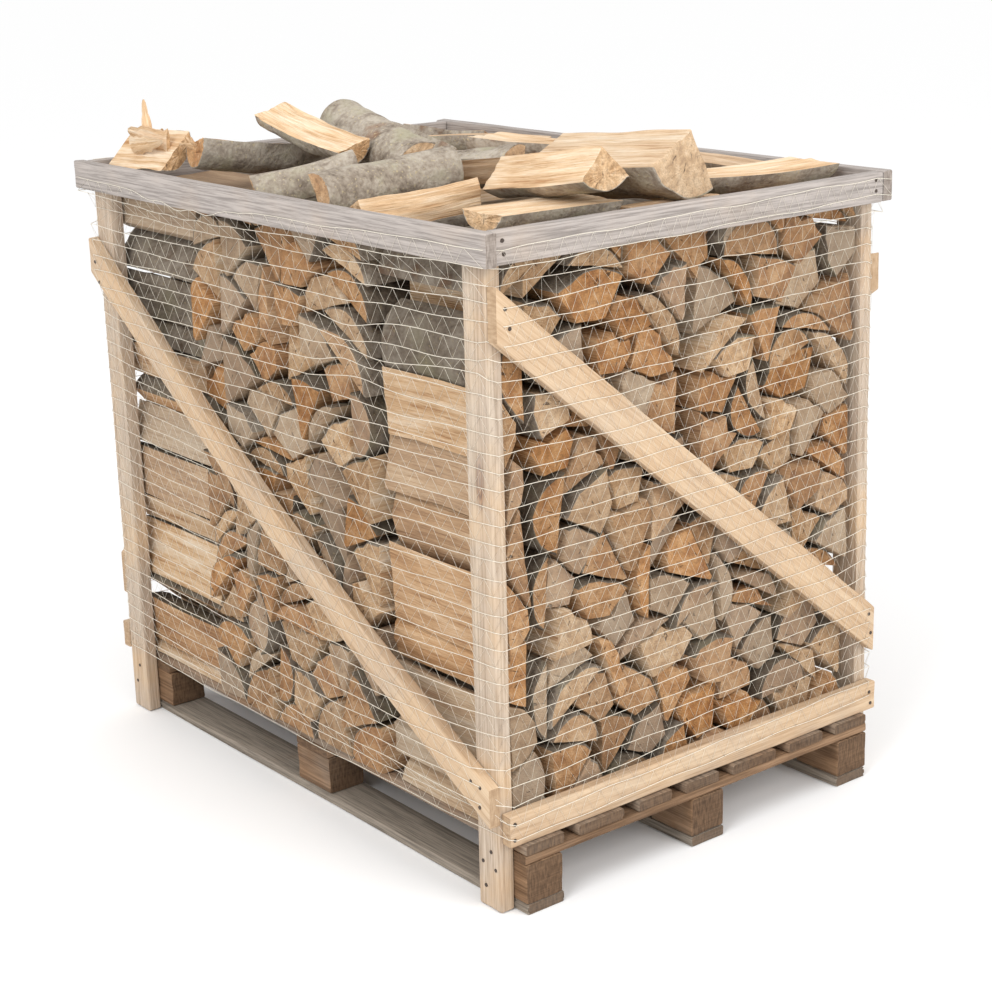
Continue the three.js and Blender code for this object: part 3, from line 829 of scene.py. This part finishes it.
steel_paint = Paint("nail_heads", 0.55, 0.4)
steel_paint.shader.inputs["Base Color"].default_value = shade(62, 50, 42)
mid_x = pallet_middle.x
post_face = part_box("post_near_right")[0].y
brace_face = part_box("brace_near")[0].y
rail_face, top_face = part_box("rail_right")[1].x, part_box("top_board_right")[1].x
right_foot = ((0.546, 0.1), (0.525, 0.078), (0.557, 0.072), (0.531, 0.037))
left_foot = ((-0.573, 0.092), (-0.586, 0.056))
brace_ends = ((0.528, 0.223), (0.551, 0.219), (0.549, 0.185), (-0.58, 0.905), (-0.57, 0.868))
nails = nail_heads(1, post_face, [(mid_x + x, z) for x, z in right_foot + left_foot])
nails += nail_heads(1, brace_face, [(mid_x + x, z) for x, z in brace_ends])
nails += nail_heads(0, rail_face, ((-0.412, 0.16), (-0.413, 0.133), (0.412, 0.156), (0.416, 0.134)))
nails += nail_heads(0, rail_face, ((0.405, 0.307), (0.411, 0.27), (-0.408, 0.975), (-0.4, 0.945)))
nails += nail_heads(0, top_face, ((0.39, 1.077), (0.391, 1.059), (-0.41, 1.075), (-0.408, 1.055)))
make_piece("nail_heads", nails, steel_paint.material, [])


# Net: one long strip of knitted pale plastic thread, wound round the crate from the deck to the top
# boards. The strong courses run round it and a thin thread zigzags between them.
NET_PITCH = 0.0282
NET_BOTTOM, NET_TOP = 0.130, 1.112
BOARD = 0.0226
near_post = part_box("post_near_right")
RIGHT_X, LEFT_X = near_post[1].x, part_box("post_near_left")[0].x
NEAR_Y = near_post[0].y
FAR_Y_LOW, FAR_LEAN = -NEAR_Y, np.tan(np.radians(1.0))


def brace_cover(name, axis, height):
    """Where a brace covers this height along its side: the places where its upper and its lower edge
    pass through it, as a share from low to high along axis."""
    points = node_points(name)
    points = points[np.argsort(points[:, axis])].reshape(-1, 4, 3)
    place, top, bottom = points[:, :, axis].mean(1), points[:, :, 2].max(1), points[:, :, 2].min(1)
    order = 1 if top[-1] > top[0] else -1
    return sorted((float(np.interp(height, top[::order], place[::order])),
                   float(np.interp(height, bottom[::order], place[::order]))))


NET_FOOT, NET_LIMIT = 0.12, 1.1
COVER_HEIGHTS = np.linspace(NET_FOOT, NET_LIMIT, 50)
COVERS = {name: np.array([brace_cover(name, axis, h) for h in COVER_HEIGHTS])
          for name, axis in (("brace_near", 0), ("brace_right", 1), ("brace_far", 0), ("brace_left", 1))}
TOP_STEP, TOP_STEP_RISE = 1.003, 0.03
RAIL_STEP, RAIL_STEP_RISE = 0.235, 0.06
BRACE_LOW, BRACE_HIGH = 0.17, 0.99
CORNER_RUN = 0.012
CLEAR, CORNER_DIP = 0.0006, 0.0016


def net_wall(turn, height):
    """The taut net's place at a turn (0 to 4 round the crate, one for each side) and a height. It lies
    on the posts, stands off by a board's thickness over brace, rail and top board, and runs straight
    between them."""
    side = np.floor(turn).astype(int) % 4
    share = turn - np.floor(turn)
    far_y = FAR_Y_LOW - (height - NET_FOOT) * FAR_LEAN
    top = np.clip((height - TOP_STEP) / TOP_STEP_RISE, 0, 1)
    rail = np.clip((RAIL_STEP - height) / RAIL_STEP_RISE, 0, 1)
    place = np.zeros(turn.shape + (3,))
    place[..., 2] = height
    normal = np.zeros_like(place)
    sides = (("brace_near", 0, LEFT_X, RIGHT_X, 1), ("brace_right", 1, NEAR_Y, far_y, 1),
             ("brace_far", 0, LEFT_X, RIGHT_X, -1), ("brace_left", 1, NEAR_Y, far_y, -1))
    for index, (name, axis, low, high, way) in enumerate(sides):
        lead, tail = (np.interp(height, COVER_HEIGHTS, COVERS[name][:, c]) for c in (0, 1))
        edge = np.maximum(top, rail) if axis == 1 else top
        where = low + (high - low) * (share if way > 0 else 1 - share)
        margin = edge * BOARD
        first = (where - low) / np.maximum(lead - low, 1e-3)
        second = (high - where) / np.maximum(high - tail, 1e-3)
        cover = np.clip(np.minimum(first, second), 0, 1)
        cover = np.where((height > BRACE_LOW) & (height < BRACE_HIGH), cover, 0)
        corner = np.clip(1 - np.minimum(where - low, high - where) / CORNER_RUN, 0, 1)
        off = margin + (BOARD - margin) * cover + CLEAR - CORNER_DIP * corner
        here = side == index
        reach = top * BOARD * corner
        stretched = np.where(where < (low + high) / 2, where - reach, where + reach)
        outer = (NEAR_Y - off, RIGHT_X + off, far_y + off, LEFT_X - off)[index]
        place[..., axis] = np.where(here, stretched, place[..., axis])
        place[..., 1 - axis] = np.where(here, outer, place[..., 1 - axis])
        normal[..., 1 - axis] = np.where(here, (-1, 1, 1, -1)[index], normal[..., 1 - axis])
    return place, normal


def net_height(turn):
    """Height of the course at so many quarter-turns: a steady climb of one pitch a round, with small
    waves, a sag on the near side, one snag that pulls the courses together and one bunched band."""
    height = NET_BOTTOM + NET_PITCH * turn / 4
    share = turn % 4
    height = height + 0.0015 * np.sin(2 * np.pi * share * 3 + turn * 0.7) + 0.0007 * np.sin(turn * 41.0)
    right = (share > 1) & (share < 2)
    near = share < 1
    height = height + np.where(right, 0.012 * (share - 1.5), 0)
    height = height - np.where(near, 0.008 * np.sin(np.pi * share), 0)
    x = LEFT_X + (RIGHT_X - LEFT_X) * np.clip(share, 0, 1)
    snag = np.exp(-((x - pallet_middle.x - 0.214) / 0.075) ** 2 - ((height - 0.871) / 0.05) ** 2)
    height = height - np.where(near, snag * 0.8 * (height - 0.871), 0)
    band = 0.80 + 0.09 * np.clip((x - pallet_middle.x - 0.1) / 0.43, 0, 1)
    pull = np.exp(-((height - band) / 0.03) ** 2) * np.clip((x - pallet_middle.x - 0.05) / 0.1, 0, 1)
    height = height - np.where(near, pull * 0.55 * (height - band), 0)
    scallop = np.sin(np.pi * np.clip((share - 0.06) / 0.5, 0, 1)) ** 2 * np.clip((height - 1.0) / 0.05, 0, 1)
    height = height - np.where(near, scallop * (0.018 + 0.004 * np.sin(share * 70)), 0)
    return np.clip(height, 0.122, 1.0885)


def strand(turn, lift, radius):
    """A thin three-sided thread through the net's places at these turns; lift picks the course above."""
    height = net_height(turn + 4 * lift)
    place, normal = net_wall(turn % 4, height)
    place = place + normal * 0.0004
    tangent = np.gradient(place, axis=0)
    tangent /= np.maximum(np.linalg.norm(tangent, axis=1, keepdims=True), 1e-9)
    aside = np.cross(tangent, normal)
    aside /= np.maximum(np.linalg.norm(aside, axis=1, keepdims=True), 1e-9)
    out = np.cross(aside, tangent)
    angle = np.radians((90, 330, 210))
    arm = np.cos(angle)[:, None] * aside[:, None] + np.sin(angle)[:, None] * out[:, None]
    rings = place[:, None] + radius * arm
    count = len(rings)
    run = np.repeat(np.arange(count)[:, None] * 0.01, 4, 1)
    ringway = np.repeat(np.arange(4)[None] * radius, count, 0)
    return plain_skin(rings, run, ringway, (0.5, 0.0, 0.0))


net_paint = Paint("net_thread", 0.45, 0.4)
net_paint.shader.inputs["Base Color"].default_value = shade(234, 227, 212)
ROUNDS = int((NET_TOP - NET_BOTTOM) / NET_PITCH)
COURSE_RADIUS, ZIGZAG_RADIUS = 0.0007, 0.00034
course_turns = np.arange(0, 4 * ROUNDS, 1 / 56)
zigzag_turns = np.arange(0, 4 * (ROUNDS - 1), 1 / 58)
lift = np.arange(len(zigzag_turns)) % 2
courses = strand(course_turns, np.zeros(len(course_turns)), COURSE_RADIUS)
zigzag = strand(zigzag_turns, lift, ZIGZAG_RADIUS)
make_piece("net_threads", [courses, zigzag], net_paint.material, ["net"], 180)


# Sizes: the box of the finished crate's shown pieces, in metres.
low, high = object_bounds()
